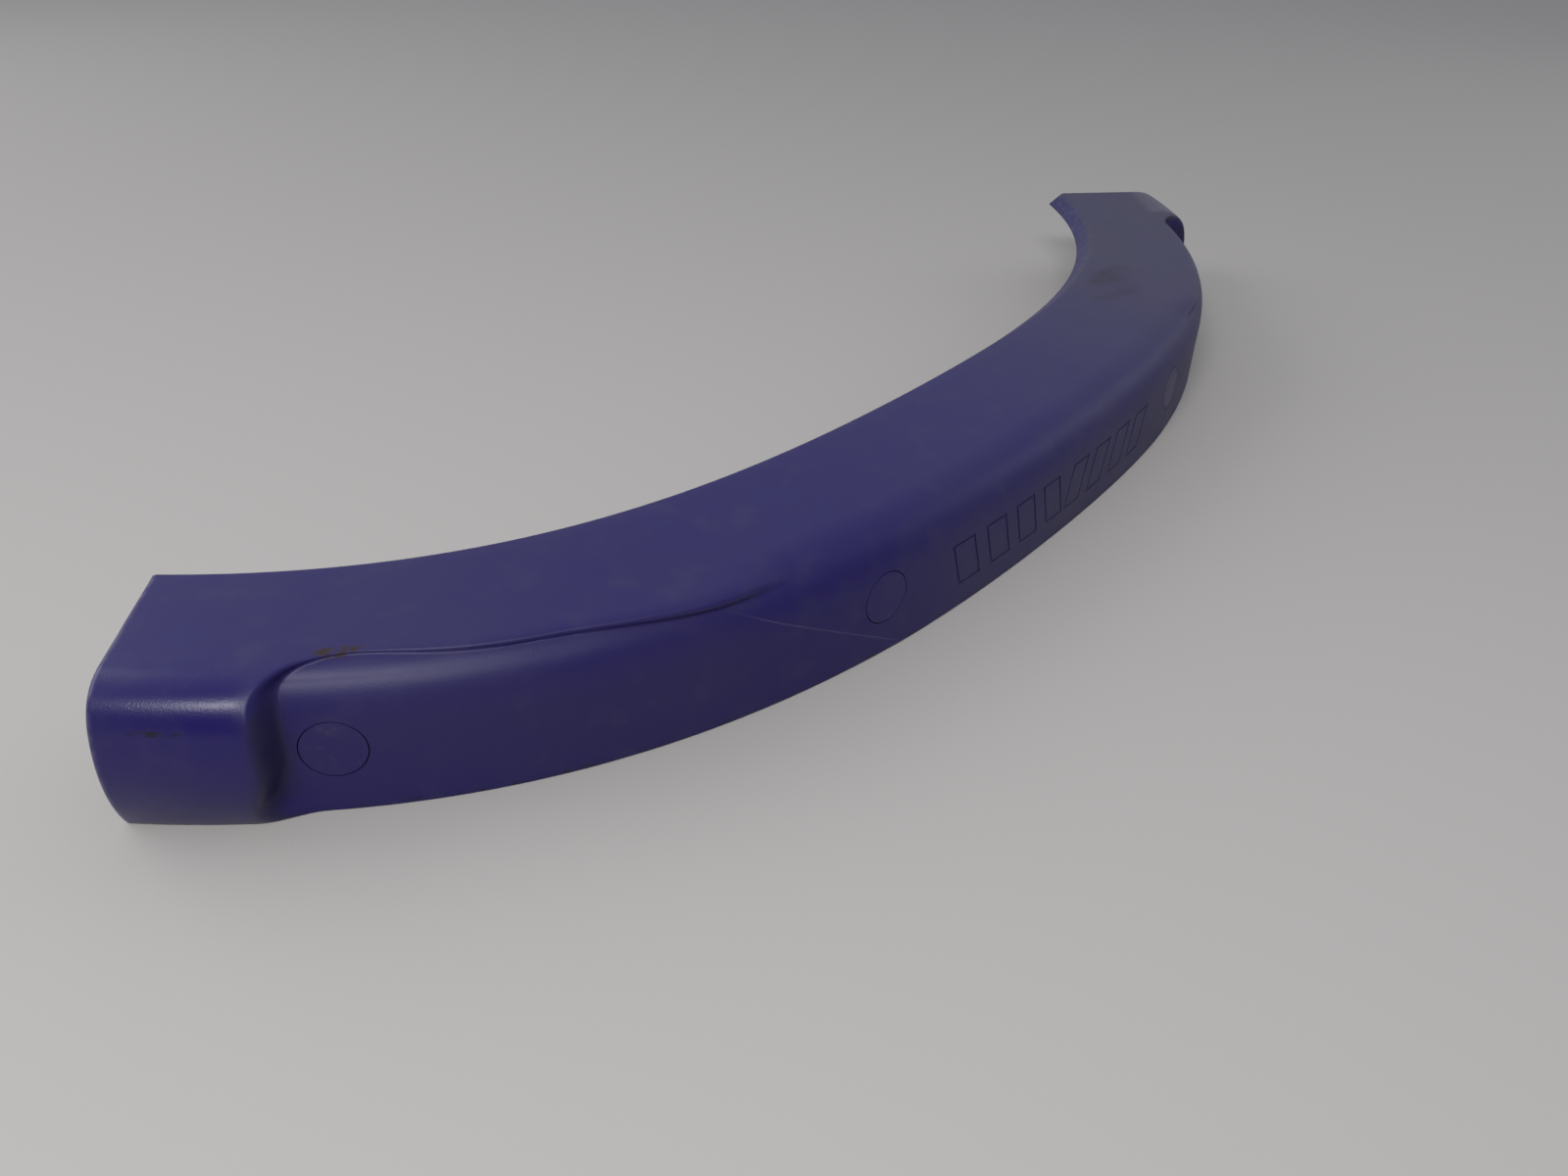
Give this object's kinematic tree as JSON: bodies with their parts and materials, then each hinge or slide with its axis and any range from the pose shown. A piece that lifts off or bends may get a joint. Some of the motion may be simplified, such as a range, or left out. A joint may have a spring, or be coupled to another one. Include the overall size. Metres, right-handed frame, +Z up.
{
  "type": "bow bumper",
  "caption": "Curved moulded bow bumper for a small watercraft: L-section cover with raised end blocks, held by screws in pockets under round snap-in plug caps.",
  "frame": {"origin": "on the ground under the centre of the bounding box, with the cover lying on its bottom rim", "axes": "+Z up from the bottom rim to the flange, -Y towards the nose that wraps the hull's bow, X across the hull (mirror plane X = 0)"},
  "size_m": [0.779, 0.1995, 0.0573],
  "materials": {
    "cover_plastic": "satin moulded blue-violet",
    "cap_plastic": "satin moulded blue-violet",
    "washer_steel": "stamped stainless",
    "screw_steel": "stainless"
  },
  "bodies": {
    "root": {"bumper_cover": "cover_plastic", "right_arm_washer": "washer_steel", "right_arm_screw": "screw_steel", "right_nose_washer": "washer_steel", "right_nose_screw": "screw_steel", "left_nose_washer": "washer_steel", "left_nose_screw": "screw_steel", "left_arm_washer": "washer_steel", "left_arm_screw": "screw_steel"},
    "right_arm_cap": {"right_arm_plug_cap": "cap_plastic"},
    "right_nose_cap": {"right_nose_plug_cap": "cap_plastic"},
    "left_nose_cap": {"left_nose_plug_cap": "cap_plastic"},
    "left_arm_cap": {"left_arm_plug_cap": "cap_plastic"}
  },
  "joints": [
    {"name": "right_arm_cap_pull", "type": "slide", "parent": "root", "child": "right_arm_cap", "axis": [0.5944, -0.8041, 0], "range_m": [0, 0.03]},
    {"name": "right_nose_cap_pull", "type": "slide", "parent": "root", "child": "right_nose_cap", "axis": [0.1259, -0.992, 0], "range_m": [0, 0.03]},
    {"name": "left_nose_cap_pull", "type": "slide", "parent": "root", "child": "left_nose_cap", "axis": [-0.1259, -0.992, 0], "range_m": [0, 0.03]},
    {"name": "left_arm_cap_pull", "type": "slide", "parent": "root", "child": "left_arm_cap", "axis": [-0.5944, -0.8041, 0], "range_m": [0, 0.03]}
  ]
}
